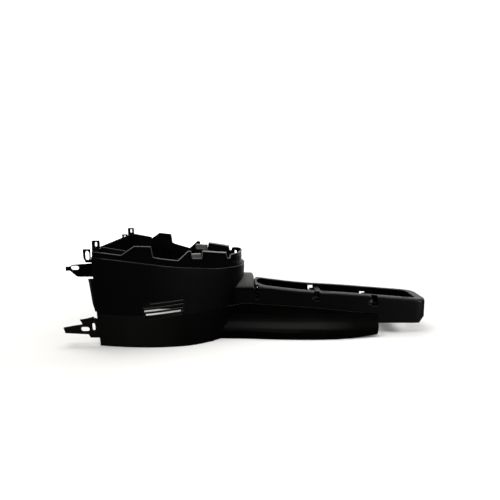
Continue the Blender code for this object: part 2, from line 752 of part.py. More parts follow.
def build_cross_wall():
    """Portal between the rims at the front: straight top, arched underside, ribbed front face."""
    reach = RIM_INSET + HOUSING_WALL + FIT
    half = min(skin_half_width(x, 0.252, reach) for x in (CROSS_X, CROSS_X + CROSS_WALL))
    foot = half - 0.028
    outline = [(-half, CROSS_TOP), (-half, CROSS_LOW), (-foot, CROSS_LOW)]
    for k in range(1, 8):
        angle = math.pi / 2 * k / 8
        rise = (CROSS_ARCH_TOP - CROSS_LOW) * math.sin(angle)
        outline.append((-foot + 0.060 * (1 - math.cos(angle)), CROSS_LOW + rise))
    outline.append((-foot + 0.060, CROSS_ARCH_TOP))
    outline += [(-y, z) for y, z in reversed(outline)]
    wall = add_prism(
        "front_cross_wall",
        [(CROSS_X, y, z) for y, z in outline],
        [(CROSS_X + CROSS_WALL, y, z) for y, z in outline],
        "structure",
    )
    free = half - POST_THICKNESS - 0.030
    low_x = CROSS_X - CROSS_FLANGE
    top = (CROSS_TOP - 0.0032, CROSS_TOP - 0.0004)
    join_to(wall, add_block("cross_top_form", (low_x, -free, top[0]), (CROSS_X + 0.001, free, top[1])))
    bottom = (CROSS_ARCH_TOP + 0.002, CROSS_ARCH_TOP + 0.0045)
    low, high = (low_x, -free + 0.06, bottom[0]), (CROSS_X + 0.001, free - 0.06, bottom[1])
    join_to(wall, add_block("cross_bottom_form", low, high))
    for k, y in enumerate(spread(-free + 0.07, free - 0.07, CROSS_RIBS)):
        low = (low_x + 0.001, y - 0.0011, bottom[0] + 0.001)
        join_to(wall, add_block(f"cross_rib_form_{k}", low, (CROSS_X + 0.001, y + 0.0011, top[1] - 0.001)))
    return wall


def build_lower_tie():
    """Channel bar between the lower arms, open towards the front."""
    depth = SKIRT_WALL + 3 * FIT + FIXING_SHEET
    half = min(skin_half_width(FRONT_EDGE, z, depth) for z in (TIE_BOTTOM, TIE_TOP))
    low, high = (TIE_X, -half, TIE_BOTTOM), (TIE_X + TIE_DEPTH, half, TIE_TOP)
    tie = add_block("lower_cross_tie", low, high, "structure")
    wall = 0.003
    pocket = (TIE_X - 0.01, TIE_BOTTOM + wall), (TIE_X + TIE_DEPTH - wall, TIE_TOP - wall)
    bays = 6
    width = 2 * half / bays
    for k in range(bays):
        y = -half + k * width + wall / 2
        low = (pocket[0][0], y, pocket[0][1])
        high = (pocket[1][0], y + width - wall, pocket[1][1])
        cut_from(tie, add_block(f"tie_bay_form_{k}", low, high))
    return tie


def end_pairs(centre, direction, opening_reach, opening_power, ring_reach, ring_power, count):
    """Matching points round one end, each ring point in line with its opening point from the centre."""
    pairs = []
    for k in range(1, count):
        angle = math.pi * k / count
        along, across = math.sin(angle), -math.cos(angle) * direction
        x = opening_reach * along ** (2 / opening_power)
        y = math.copysign(OPENING_HALF_WIDTH * abs(across) ** (2 / opening_power), across)
        reach = (x / ring_reach) ** ring_power + (abs(y) / RAIL_HALF_WIDTH) ** ring_power
        stretch = reach ** (-1 / ring_power)
        pairs.append(((centre + direction * x * stretch, y * stretch), (centre + direction * x, y)))
    return pairs


def ring_pairs():
    """Matching plan points of the carrier's outer wall and of the opening, round the whole ring."""
    front, rear = OPENING_FRONT + OPENING_FRONT_REACH, OPENING_REAR - OPENING_REAR_REACH
    marks = [x for start, length, _ in NOTCHES for x in (start, start + length)]
    stations = [x for x in spread(front, rear, 14) if all(abs(x - mark) > 0.004 for mark in marks)]
    near = [((x, -RAIL_HALF_WIDTH), (x, -OPENING_HALF_WIDTH)) for x in stations]
    far = [((x, RAIL_HALF_WIDTH), (x, OPENING_HALF_WIDTH)) for x in reversed(stations)]
    nose = end_pairs(rear, 1, OPENING_REAR_REACH, 3.2, NOSE_END - rear, 3.75, 16)
    head = end_pairs(front, -1, OPENING_FRONT_REACH, 2.2, front - RING_FRONT, 8.0, 18)
    return near + nose + far + head


def ring_section(outer, opening, wall_back, opening_back):
    """Section of the ring: from the foot up, over the rail and into the opening, and its back."""
    gap = (opening - outer).length
    inward = (opening - outer) / gap
    shoulder = min(RAIL_SHOULDER, gap * 0.42)
    wall = CARRIER_WALL
    top = read_curve(RAIL_HEIGHT, outer.x)
    front_share = min(max((RING_FRONT + 0.030 - outer.x) / 0.012, 0.0), 1.0)
    bottom = CARRIER_BOTTOM + (RING_FRONT_BOTTOM - CARRIER_BOTTOM) * front_share**2 * (3 - 2 * front_share)
    nose_share = min(max(1 - (NOSE_END - outer.x) / 0.040, 0.0), 1.0)
    foot = outer - Vector((NOSE_BEVEL[0] * nose_share**2, 0.0))
    behind = outer + wall_back
    middle = (bottom + top) / 2
    rows = [(*foot, bottom), (*outer, bottom + NOSE_BEVEL[1]), (*outer, middle), (*outer, top - shoulder)]
    backs = [(*(foot + wall_back), bottom), (*behind, bottom + NOSE_BEVEL[1] + 0.001), (*behind, middle)]
    backs.append((*behind, top - shoulder))
    short = shoulder - wall
    for step in range(1, 5):
        angle = math.pi / 2 * step / 4
        along, up = 1 - math.cos(angle), math.sin(angle)
        rows.append((*(outer + inward * shoulder * along), top - shoulder * (1 - up)))
        backs.append((*(behind + inward * short * along), top - wall - short * (1 - up)))
    lip = min(OPENING_LIP, gap * 0.15)
    rows += [(*(opening - inward * lip), top), (*(opening - inward * 0.0008), top - 0.0009)]
    rows += [(*opening, top - OPENING_LIP), (*opening, top - OPENING_WALL)]
    backs.append((*(opening + opening_back * 1.1), top - wall))
    backs.append((*(opening + opening_back * 1.05), top - wall - 0.0002))
    behind = opening + opening_back
    backs += [(*behind, top - OPENING_LIP), (*behind, top - OPENING_WALL)]
    return rows, backs


def build_carrier():
    wall = CARRIER_WALL
    outer, inner = [], []
    pairs = [(Vector(o), Vector(i)) for o, i in ring_pairs()]
    for k, (o, i) in enumerate(pairs):
        ahead, behind = pairs[(k + 1) % len(pairs)], pairs[k - 1]
        along_wall, along_opening = ahead[0] - behind[0], ahead[1] - behind[1]
        wall_back = Vector((-along_wall.y, along_wall.x)).normalized() * wall
        opening_back = Vector((along_opening.y, -along_opening.x)).normalized() * wall
        rows, backs = ring_section(o, i, wall_back, opening_back)
        outer.append(rows)
        inner.append(backs)
    carrier = add_shell("rear_carrier", outer, inner, "carrier", loop=True)
    outline = deck_outline(SADDLE_WALL + FIT)
    backs = deck_outline(SADDLE_WALL + FIT + wall)
    deck = add_shell(
        "deck_form",
        [[(x, y, z) for y, z in outline] for x in (DECK_FRONT, DECK_REAR)],
        [[(x, y, z) for y, z in backs] for x in (DECK_FRONT, DECK_REAR)],
    )
    join_to(carrier, deck)
    for side in (-1, 1):
        y = sorted((side * (RAIL_HALF_WIDTH - wall + 0.0003), side * (RAIL_HALF_WIDTH - 0.0003)))
        low = (DECK_REAR - 0.008, y[0], CARRIER_BOTTOM + 0.001)
        high = (OPENING_FRONT + OPENING_FRONT_REACH, y[1], SADDLE_EDGE - SADDLE_WALL - 2 * FIT)
        join_to(carrier, add_block(f"sill_form_{side}", low, high))
        for k, (x, length, bottom) in enumerate(NOTCHES):
            y = sorted((side * (RAIL_HALF_WIDTH - NOTCH_DEPTH), side * (RAIL_HALF_WIDTH + 0.010)))
            high = (x + length, y[1], bottom + 0.060)
            cut_from(carrier, add_block(f"notch_form_{k}_{side}", (x, y[0], bottom), high))
            y = sorted((side * (RAIL_HALF_WIDTH - NOTCH_DEPTH - 0.002), side * (RAIL_HALF_WIDTH + 0.0002)))
            low = (x - 0.002, y[0], bottom - NOTCH_LEDGE)
            high = (x + length + 0.002, y[1], bottom + 0.0004)
            join_to(carrier, add_block(f"ledge_form_{k}_{side}", low, high))
        for k, (x, length, low_z, high_z) in enumerate(WINDOWS):
            y = sorted((side * 0.020, side * (RAIL_HALF_WIDTH + 0.010)))
            low, high = (x, y[0], low_z), (x + length, y[1], high_z)
            cut_from(carrier, add_block(f"window_form_{k}_{side}", low, high))
        for k, (x, length) in enumerate(RAIL_SLOTS):
            middle = side * (OPENING_HALF_WIDTH + RAIL_FLANGE / 2)
            y = (middle - RAIL_SLOT_WIDTH / 2, middle + RAIL_SLOT_WIDTH / 2)
            z = read_curve(RAIL_HEIGHT, x)
            low, high = (x, y[0], z - 0.012), (x + length, y[1], z + 0.010)
            cut_from(carrier, add_block(f"rail_slot_form_{k}_{side}", low, high))
    return carrier


def deck_outline(depth):
    """Cross-section under the saddle: side walls with an arch that follows the saddle's underside."""
    side_wall = max(depth - SADDLE_WALL - FIT, 0.0)
    half = RAIL_HALF_WIDTH - side_wall
    points = [(-half, CARRIER_BOTTOM)]
    for k in range(17):
        y = -half + 2 * half * k / 16
        points.append((y, saddle_height(y) - depth - 0.0004))
    return points + [(half, CARRIER_BOTTOM)]


def build_saddle():
    """Crowned bridge whose rear end rolls down to the rails."""
    start, end = SADDLE_ENDS
    roll_start = end - SADDLE_ROLL
    stations = [(x, 0.0) for x in (start, -0.060, -0.038)]
    stations += [(roll_start, angle) for angle in spread(0.0, math.pi / 2, 6)]
    outer, inner = [], []
    for x, angle in stations:
        forward, fall = math.sin(angle), 1 - math.cos(angle)
        top, under = [], []
        for k in range(21):
            y = -SADDLE_HALF_WIDTH * math.cos(math.pi * k / 20)
            z = saddle_height(y)
            drop = SADDLE_WALL + (z - SADDLE_EDGE) * SADDLE_ROLL_DROP
            top.append((x + SADDLE_ROLL * forward, y, z - drop * fall))
            low = z - SADDLE_WALL - (drop - SADDLE_WALL) * fall
            under.append((x + (SADDLE_ROLL - SADDLE_WALL) * forward, y, low))
        outer.append(top)
        inner.append(under)
    return add_shell("saddle_cover", outer, inner, "saddle")


def build_cross_member(number):
    x, depth, height, drop = CROSS_MEMBERS[number]
    half = OPENING_HALF_WIDTH - FIT
    top = read_curve(RAIL_HEIGHT, x + depth) - drop
    name = f"cross_member_{number + 1}"
    bar = add_block(name, (x, -half, top - height), (x + depth, half, top), "structure")
    wall = MEMBER_WALL
    bays = spread(-half + wall, half - wall, 5)
    for k, (start, end) in enumerate(zip(bays, bays[1:])):
        low = (x + wall, start + (0.001 if k else 0.0), top - height - 0.01)
        high = (x + depth - wall, end - (0.001 if k < len(bays) - 2 else 0.0), top - wall)
        cut_from(bar, add_block(f"member_bay_form_{number}_{k}", low, high))
    return bar


def build_mount_plate():
    half = RAIL_HALF_WIDTH - CARRIER_WALL - FIT
    low = CARRIER_BOTTOM + 0.002
    plate = add_block(
        "rear_mount_plate",
        (MOUNT_PLATE_ENDS[0], -half, low),
        (MOUNT_PLATE_ENDS[1], half, low + MOUNT_PLATE_WALL),
        "structure",
    )
    middle = sum(MOUNT_PLATE_ENDS) / 2
    round_turn = spread(0, 2 * math.pi, 17)[:-1]
    for side in (-1, 1):
        y = side * MOUNT_HOLE_SPACING / 2
        tube = [(middle + 2 * MOUNT_HOLE * math.cos(a), y + 2 * MOUNT_HOLE * math.sin(a)) for a in round_turn]
        foot, rim = low + 0.001, low + MOUNT_BOSS
        boss = add_prism(f"mount_boss_form_{side}", [(*p, foot) for p in tube], [(*p, rim) for p in tube])
        join_to(plate, boss)
        hole = [(middle + MOUNT_HOLE * math.cos(a), y + MOUNT_HOLE * math.sin(a)) for a in round_turn]
        foot, rim = low - 0.010, low + 2 * MOUNT_BOSS
        bore = add_prism(f"mount_hole_form_{side}", [(*p, foot) for p in hole], [(*p, rim) for p in hole])
        cut_from(plate, bore)
    return plate


def centre_on_floor():
    """Moves everything along X so that the origin lies midway between the arm tips and the nose."""
    arm_tip = min(x for x, _ in LOWER_ARM)
    shift = Matrix.Translation((-(NOSE_END + arm_tip) / 2, 0.0, 0.0))
    for item in bpy.data.objects:
        item.data.transform(shift)


build_housing()
build_carrier()
build_saddle()
build_cross_wall()
build_lower_tie()
build_mount_plate()
for index in range(len(CROSS_MEMBERS)):
    build_cross_member(index)
for side_sign, side_word in ((-1, "near"), (1, "far")):
    build_skirt(side_sign, f"side_skirt_{side_word}")
    build_grille(side_sign, f"vent_grille_{side_word}")
    build_double_wall(side_sign, f"double_wall_{side_word}")
    build_trim_seat(side_sign, f"trim_seat_{side_word}")
    build_corner_post(side_sign, f"corner_post_{side_word}")
    build_upper_arm(side_sign, f"upper_arm_{side_word}")
    build_lower_arm(side_sign, f"lower_arm_{side_word}")
    build_return_flange(side_sign, f"return_flange_{side_word}")
    build_clip_box(side_sign, f"clip_box_{side_word}")
centre_on_floor()
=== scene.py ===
import math

import bmesh
import bpy
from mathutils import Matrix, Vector


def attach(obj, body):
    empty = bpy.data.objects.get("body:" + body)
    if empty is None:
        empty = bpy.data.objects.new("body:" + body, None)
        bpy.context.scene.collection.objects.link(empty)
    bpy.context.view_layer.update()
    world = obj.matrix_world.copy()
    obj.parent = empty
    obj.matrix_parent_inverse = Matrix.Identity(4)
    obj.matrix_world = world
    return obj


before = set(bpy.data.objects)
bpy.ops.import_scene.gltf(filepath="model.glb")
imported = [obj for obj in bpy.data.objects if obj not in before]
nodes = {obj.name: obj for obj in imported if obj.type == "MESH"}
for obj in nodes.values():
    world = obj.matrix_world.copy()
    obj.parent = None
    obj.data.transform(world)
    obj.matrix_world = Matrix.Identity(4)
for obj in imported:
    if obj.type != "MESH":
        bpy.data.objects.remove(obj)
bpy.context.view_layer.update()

# Photographer's table. A seamless white sweep carries the console and keeps its soft shadow,
# and a camera a metre and a half away looks down on it a little from the near side.
camera_offset, camera_distance, camera_height = -0.0138, 1.500, 0.445
camera_drop = math.radians(7.6)
camera_data = bpy.data.cameras.new("camera")
camera_data.lens = 34.56
camera_data.sensor_width = 36.0
camera_data.shift_x = 0.002
camera = bpy.data.objects.new("camera", camera_data)
camera.location = (camera_offset, -camera_distance, camera_height)
camera.rotation_euler = (math.radians(90) - camera_drop, 0.0, 0.0)
bpy.context.scene.collection.objects.link(camera)
bpy.context.scene.camera = camera
bpy.context.scene.view_settings.view_transform = "Standard"

sweep_half, sweep_front, sweep_back, sweep_bend, sweep_top = 9.0, -9.0, 7.0, 2.0, 8.0
sweep_drop = 0.0004
bend_steps = 12
sweep_line = [(sweep_front, 0.0), (sweep_back - sweep_bend, 0.0)]
for step in range(1, bend_steps + 1):
    turn = math.pi / 2 * step / bend_steps
    bend_y = sweep_back - sweep_bend + sweep_bend * math.sin(turn)
    sweep_line.append((bend_y, sweep_bend * (1 - math.cos(turn))))
sweep_line.append((sweep_back, sweep_top))
sweep_work = bmesh.new()
left_edge, right_edge = (
    [sweep_work.verts.new((x, y, z - sweep_drop)) for y, z in sweep_line] for x in (-sweep_half, sweep_half)
)
for a, b, c, d in zip(left_edge, right_edge, right_edge[1:], left_edge[1:]):
    sweep_work.faces.new((a, b, c, d))
sweep_mesh = bpy.data.meshes.new("white_sweep")
sweep_work.to_mesh(sweep_mesh)
sweep_work.free()
sweep_mesh.shade_smooth()
sweep = bpy.data.objects.new("white_sweep", sweep_mesh)
bpy.context.scene.collection.objects.link(sweep)


def add_step(tree, kind, sockets=(), **settings):
    """Adds one step to a finish: a node with its settings, its values and what feeds it."""
    made = tree.nodes.new(f"ShaderNode{kind}")
    for name, value in settings.items():
        setattr(made, name, value)
    for name, value in dict(sockets).items():
        if isinstance(value, bpy.types.NodeSocket):
            tree.links.new(value, made.inputs[name])
        else:
            made.inputs[name].default_value = value
    return made


def graded(tree, value, low, high, to_low=0.0, to_high=1.0):
    """Turns a value between low and high into one between two others, and holds it there."""
    scale = add_step(tree, "MapRange", {
        "Value": value, "From Min": low, "From Max": high, "To Min": to_low, "To Max": to_high,
    })
    return scale.outputs["Result"]


# The paper glows white to the camera, more and more so away from the console. In the console's
# gloss only the paper far behind it glows, and the paper close by sends little light back up.
paper = bpy.data.materials.new("white_paper")
paper.use_nodes = True
paper_tree = paper.node_tree
paper_tree.nodes.clear()
paper_ray = add_step(paper_tree, "LightPath").outputs
paper_place = add_step(paper_tree, "NewGeometry").outputs["Position"]
paper_axes = add_step(paper_tree, "SeparateXYZ", {"Vector": paper_place}).outputs
paper_radius = add_step(paper_tree, "VectorMath", {0: paper_place}, operation="LENGTH").outputs["Value"]
paper_seen = add_step(paper_tree, "Math", {
    0: paper_ray["Is Camera Ray"], 1: graded(paper_tree, paper_radius, 0.80, 2.00, 0.10, 1.0),
}, operation="MULTIPLY")
paper_mirrored = add_step(paper_tree, "Math", {
    0: paper_ray["Is Glossy Ray"], 1: graded(paper_tree, paper_axes["Y"], 0.35, 1.60), 2: paper_seen.outputs[0],
}, operation="MULTIPLY_ADD")
paper_bounce = add_step(paper_tree, "Math", {
    0: paper_ray["Is Glossy Ray"], 1: paper_ray["Is Diffuse Ray"],
}, operation="MAXIMUM")
paper_face = add_step(paper_tree, "BsdfDiffuse", {"Color": (0.80, 0.79, 0.77, 1.0)})
paper_shade = add_step(paper_tree, "BsdfDiffuse", {"Color": (0.06, 0.06, 0.055, 1.0)})
paper_glow = add_step(paper_tree, "Emission", {"Strength": paper_mirrored.outputs[0]})
paper_light = add_step(paper_tree, "MixShader", {
    "Fac": paper_bounce.outputs[0], 1: paper_face.outputs[0], 2: paper_shade.outputs[0],
})
paper_sum = add_step(paper_tree, "AddShader", {0: paper_light.outputs[0], 1: paper_glow.outputs[0]})
add_step(paper_tree, "OutputMaterial", {"Surface": paper_sum.outputs[0]})
sweep_mesh.materials.append(paper)

world = bpy.data.worlds.new("studio")
world.use_nodes = True
bpy.context.scene.world = world
sky = world.node_tree.nodes["Background"]
sky.inputs["Color"].default_value = (1.0, 1.0, 1.0, 1.0)
sky_ray = add_step(world.node_tree, "LightPath").outputs
sky_level = graded(world.node_tree, sky_ray["Is Camera Ray"], 0.0, 1.0, 0.06, 1.0)
world.node_tree.links.new(sky_level, sky.inputs["Strength"])

for lamp_name, lamp_place, lamp_aim, lamp_size, lamp_power, lamp_spread in (
    ("top_softbox", (0.1, 0.30, 3.4), (0.1, 0.0, 0.0), (5.4, 4.4), 235.0, 180),
    ("nose_softbox", (1.30, -0.75, 0.30), (0.52, -0.06, 0.06), (0.25, 0.25), 0.10, 24),
):
    lamp_data = bpy.data.lights.new(lamp_name, "AREA")
    lamp_data.shape = "RECTANGLE"
    lamp_data.size, lamp_data.size_y = lamp_size
    lamp_data.energy = lamp_power
    lamp_data.spread = math.radians(lamp_spread)
    lamp = bpy.data.objects.new(lamp_name, lamp_data)
    lamp.location = lamp_place
    lamp.rotation_euler = (Vector(lamp_aim) - Vector(lamp_place)).to_track_quat("-Z", "Y").to_euler()
    bpy.context.scene.collection.objects.link(lamp)

# Front housing, the tall tapered tub. It is injection moulded in one shot from black filled
# polypropylene, and its outer faces come out of the tool with a fine leather-like grain.
grain_pitch = 0.0011
edge_wear_and_highlight_reach = 0.0009
edge_wear_and_highlight_grey = (0.07, 0.07, 0.068, 1.0)
smooth_angle = math.radians(28)
edge_angle = math.radians(40)
seam_weld = 0.00001


def moulded_black(name, colour, roughness, gloss, grain_depth, pitch, wear_and_highlight, rounding=0.0, painted_top_highlight=None):
    """Moulded plastic: faint cloudy shade, pitted grain, handling marks, paler edges that are partly rubbed wear and
    partly a painted highlight, and, when a top colour is given, upward faces coloured paler as a painted highlight.
    """
    finish = bpy.data.materials.new(name)
    finish.use_nodes = True
    tree = finish.node_tree
    shader = tree.nodes["Principled BSDF"]
    place = add_step(tree, "TexCoord").outputs["Object"]
    surface = add_step(tree, "NewGeometry").outputs["Normal"]
    cloud, scuffs, dust = [
        add_step(tree, "TexNoise", {
            "Vector": place, "Scale": scale, "Detail": detail, "Roughness": rough,
        }).outputs["Fac"]
        for scale, detail, rough in ((9.0, 5.0, 0.6), (70.0, 6.0, 0.7), (420.0, 3.0, 0.6))
    ]
    shade = add_step(tree, "ValToRGB", {"Fac": cloud})
    for stop, height, strength in zip(shade.color_ramp.elements, (0.32, 0.70), (0.80, 1.22)):
        stop.position = height
        stop.color = (*[c * strength for c in colour], 1.0)

    # Paler edges: partly rubbed wear, partly a painted highlight where the edges catch the light.
    edge = add_step(tree, "Bevel", {"Radius": edge_wear_and_highlight_reach}, samples=4).outputs["Normal"]
    match = add_step(tree, "VectorMath", {0: edge, 1: surface}, operation="DOT_PRODUCT").outputs["Value"]
    edge_wear_and_highlight = graded(tree, match, 0.995, 0.86, 0.0, wear_and_highlight)
    patchy = add_step(tree, "Math", {0: edge_wear_and_highlight, 1: scuffs}, operation="MULTIPLY").outputs[0]
    tone = add_step(tree, "Mix", {
        "Factor": patchy, "A": shade.outputs["Color"], "B": edge_wear_and_highlight_grey,
    }, data_type="RGBA")
    tree.links.new(tone.outputs["Result"], shader.inputs["Base Color"])
    # Painted highlight: faces turned upwards are coloured paler, as if lit from above.
    if painted_top_highlight:
        facing = add_step(tree, "SeparateXYZ", {"Vector": surface}).outputs["Z"]
        overlay(finish, graded(tree, facing, 0.45, 0.85), painted_top_highlight)

    polish = graded(tree, scuffs, 0.30, 0.75, roughness + 0.07, roughness - 0.07)
    tree.links.new(polish, shader.inputs["Roughness"])
    shader.inputs["Metallic"].default_value = 0.0
    shader.inputs["IOR"].default_value = 1.49
    shader.inputs["Specular IOR Level"].default_value = gloss

    pits = add_step(tree, "TexVoronoi", {
        "Vector": place, "Scale": 1.0 / pitch, "Smoothness": 0.6,
    }, feature="SMOOTH_F1").outputs["Distance"]
    relief = add_step(tree, "Math", {0: dust, 1: 0.35, 2: pits}, operation="MULTIPLY_ADD").outputs[0]
    bump = add_step(tree, "Bump", {"Strength": grain_depth, "Distance": 0.0003, "Height": relief})
    if rounding:
        eased = add_step(tree, "Bevel", {"Radius": rounding}, samples=8)
        tree.links.new(eased.outputs["Normal"], bump.inputs["Normal"])
    tree.links.new(bump.outputs["Normal"], shader.inputs["Normal"])
    return finish


def overlay(finish, share, colour):
    """Lays another tone over a finish's own colour, as far as the given share says."""
    tree = finish.node_tree
    base = tree.nodes["Principled BSDF"].inputs["Base Color"]
    layer = add_step(tree, "Mix", {
        "Factor": share, "A": base.links[0].from_socket, "B": (*colour, 1.0),
    }, data_type="RGBA")
    tree.links.new(layer.outputs["Result"], base)


even_shading = bpy.data.node_groups.new("even_shading", "GeometryNodeTree")
for way in ("INPUT", "OUTPUT"):
    even_shading.interface.new_socket("Geometry", in_out=way, socket_type="NodeSocketGeometry")
entry, leave, plain, weld, angle, gentle, faces, edges = (
    even_shading.nodes.new(kind) for kind in (
        "NodeGroupInput", "NodeGroupOutput", "GeometryNodeRemoveAttribute", "GeometryNodeMergeByDistance",
        "GeometryNodeInputMeshEdgeAngle", "FunctionNodeCompare", "GeometryNodeSetShadeSmooth",
        "GeometryNodeSetShadeSmooth",
    )
)
plain.inputs["Name"].default_value = "custom_normal"
weld.inputs["Distance"].default_value = seam_weld
gentle.operation = "LESS_THAN"
gentle.inputs["B"].default_value = smooth_angle
edges.domain = "EDGE"
for source, target in (
    (entry.outputs[0], plain.inputs["Geometry"]),
    (plain.outputs["Geometry"], weld.inputs["Geometry"]),
    (weld.outputs["Geometry"], faces.inputs["Geometry"]),
    (angle.outputs["Unsigned Angle"], gentle.inputs["A"]),
    (gentle.outputs["Result"], edges.inputs["Shade Smooth"]),
    (faces.outputs["Geometry"], edges.inputs["Geometry"]),
    (edges.outputs["Geometry"], leave.inputs[0]),
):
    even_shading.links.new(source, target)


def dress(piece, finish, radius):
    """Gives a piece its finish, shades it smooth and rounds its sharp edges by a small radius."""
    piece.data.materials.clear()
    piece.data.materials.append(finish)
    shading = piece.modifiers.new("even_shading", "NODES")
    shading.node_group = even_shading
    round_edges = piece.modifiers.new("round_edges", "BEVEL")
    round_edges.width = radius
    round_edges.segments = 2
    round_edges.limit_method = "ANGLE"
    round_edges.angle_limit = edge_angle
    round_edges.use_clamp_overlap = True
    weight = piece.modifiers.new("flat_faces_first", "WEIGHTED_NORMAL")
    weight.keep_sharp = True


housing_finish = moulded_black("housing_grain", (0.0024, 0.0024, 0.0024), 0.46, 0.20, 0.22, grain_pitch, 0.30)
dress(nodes["front_housing"], housing_finish, 0.0004)

# Rim bead. The top edge of the housing's rim is thickened to a rounded lip about 5 mm deep that follows every step
# of the rim and is coloured paler, a painted highlight, paler still towards the back. It is moulded in one with the
# housing.
step_line = [(-0.4428, 0.253), (-0.3388, 0.239), (-0.2118, 0.214), (-0.1138, 0.205), (-0.0278, 0.207)]
ledge_slack = 0.0012
same_corner = 0.00003
columns_looked_back = 60
least_wall = 0.006
least_stride, least_walk = 0.0004, 0.00002
sharpest_mitre = 0.6
bead_section = [
    (0.0034, -0.0025), (0.0030, -0.0031), (0.0012, -0.0032), (0.0000, -0.0028), (-0.0006, -0.0014),
    (-0.0001, 0.0003), (0.0012, 0.0011), (0.0030, 0.0015), (0.0044, 0.0013), (0.0050, 0.0003), (0.0050, -0.0004),
]


def corners_of(name):
    """Corner points of one of the console's pieces."""
    return [v.co.copy() for v in nodes[name].data.vertices]


def line_height(line, x):
    """Height at x of a line of (x, height) points."""
    for (xa, a), (xb, b) in zip(line, line[1:]):
        if x <= xb:
            return a + (b - a) * (x - xa) / (xb - xa)
    return line[-1][1]


def skin_over(name, rows, finish, closed=True, smooth=True):
    """Piece with a skin over rows of points, capped at both ends."""
    mesh = bpy.data.meshes.new(name)
    work = bmesh.new()
    laid = [[work.verts.new(point) for point in row] for row in rows]
    for a, b in zip(laid, laid[1:]):
        for j in range(len(a) if closed else len(a) - 1):
            k = (j + 1) % len(a)
            work.faces.new((a[j], b[j], b[k], a[k]))
    work.faces.new(laid[0])
    work.faces.new(laid[-1])
    bmesh.ops.recalc_face_normals(work, faces=work.faces)
    work.to_mesh(mesh)
    work.free()
    if smooth:
        mesh.shade_smooth()
    mesh.materials.append(finish)
    piece = bpy.data.objects.new(name, mesh)
    bpy.context.scene.collection.objects.link(piece)
    return piece


rim_columns = []
for corner in sorted(corners_of("front_housing"), key=lambda co: co.x):
    for column in reversed(rim_columns[-columns_looked_back:]):
        if abs(column[0] - corner.x) < same_corner and abs(column[1] - corner.y) < same_corner:
            column[2], column[3] = min(column[2], corner.z), max(column[3], corner.z)
            break
    else:
        rim_columns.append([corner.x, corner.y, corner.z, corner.z])
rim_half = {-1: [], 1: []}
for x, y, low, high in rim_columns:
    if high - low > least_wall and abs(low - line_height(step_line, x)) < ledge_slack:
        rim_half[-1 if y < 0 else 1].append(Vector((x, y, high)))
rim_path = rim_half[-1] + rim_half[1][::-1]
rim_path = [a for k, a in enumerate(rim_path) if k == 0 or (a - rim_path[k - 1]).length > least_stride]
walked = [0.0]
for a, b in zip(rim_path, rim_path[1:]):
    walked.append(walked[-1] + max((b.xy - a.xy).length, least_walk))


def wall_place(reach, out):
    """Plan point on the rim wall at a walked distance, moved outwards."""
    k = 0
    while k < len(walked) - 2 and walked[k + 1] < reach:
        k += 1
    a, b = rim_path[k].xy, rim_path[k + 1].xy
    spot = a.lerp(b, (reach - walked[k]) / (walked[k + 1] - walked[k]))
    before, after = rim_path[max(k - 2, 0)].xy, rim_path[min(k + 3, len(rim_path) - 1)].xy
    along = (after - before).normalized()
    return spot + Vector((along.y, -along.x)) * out


bead_rows = []
for k, point in enumerate(rim_path):
    here = Vector((walked[k], point.z))
    slopes = []
    for j in (k - 1, k + 1):
        if 0 <= j < len(rim_path):
            other = Vector((walked[j], rim_path[j].z))
            way = (here - other) if j < k else (other - here)
            way.normalize()
            slopes.append(Vector((way.y, -way.x)))
    mitre = sum(slopes, Vector((0.0, 0.0)))
    if len(slopes) == 2:
        mitre = mitre * 2 / len(slopes) / max(mitre.dot(mitre), sharpest_mitre)
    row = []
    for down, out in bead_section:
        spot = here + mitre * down
        spot.x = min(max(spot.x, 0.0), walked[-1])
        row.append((*wall_place(spot.x, out), spot.y))
    bead_rows.append(row)
bead_highlight_finish = moulded_black("rim_painted_highlight", (0.050, 0.050, 0.048), 0.40, 0.50, 0.12, grain_pitch, 0.6)
bead_tree = bead_highlight_finish.node_tree
bead_place = add_step(bead_tree, "TexCoord").outputs["Object"]
bead_axes = add_step(bead_tree, "SeparateXYZ", {"Vector": bead_place}).outputs
# Painted highlight: the bead is coloured paler towards the back of the rim.
overlay(bead_highlight_finish, graded(bead_tree, bead_axes["X"], -0.33, -0.17), (0.105, 0.105, 0.100))
rim_bead = skin_over("rim_bead", bead_rows, bead_highlight_finish, closed=False)
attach(rim_bead, "root")

# Rounded arrises. The step below the rim and the front edge of each side carry a narrow rounded arris, moulded in
# one with the housing and coloured paler as a painted highlight.
arris_highlight_finish = moulded_black("arris_painted_highlight", (0.028, 0.028, 0.0270), 0.38, 0.50, 0.12, grain_pitch, 0.6)
arris_sides = 8
step_radius, front_radius = 0.0010, 0.0008
front_edge_corners = ((-0.45485, 0.1930), (-0.44585, 0.1200), (-0.44035, 0.0990))
front_edge_setback = Vector((0.0042, 0.0, 0.0))
front_edge_slack = 0.002
step_slice = 0.004
step_width = (0.002, 0.014)
step_stride = 0.002
both_sides = (("near", -1), ("far", 1))


def round_line(name, path, radius, finish):
    """Round strip of the given radius laid along a path of points."""
    turns = [math.pi * 2 * j / arris_sides for j in range(arris_sides)]
    rings = []
    for k, point in enumerate(path):
        along = (path[min(k + 1, len(path) - 1)] - path[max(k - 1, 0)]).normalized()
        side = along.cross(Vector((0.0, 0.0, 1.0)))
        side = side.normalized() if side.length > 0.05 else Vector((0.0, 1.0, 0.0))
        up = side.cross(along).normalized()
        rings.append([point + (side * math.cos(a) + up * math.sin(a)) * radius for a in turns])
    strip = skin_over(name, rings, finish)
    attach(strip, "root")


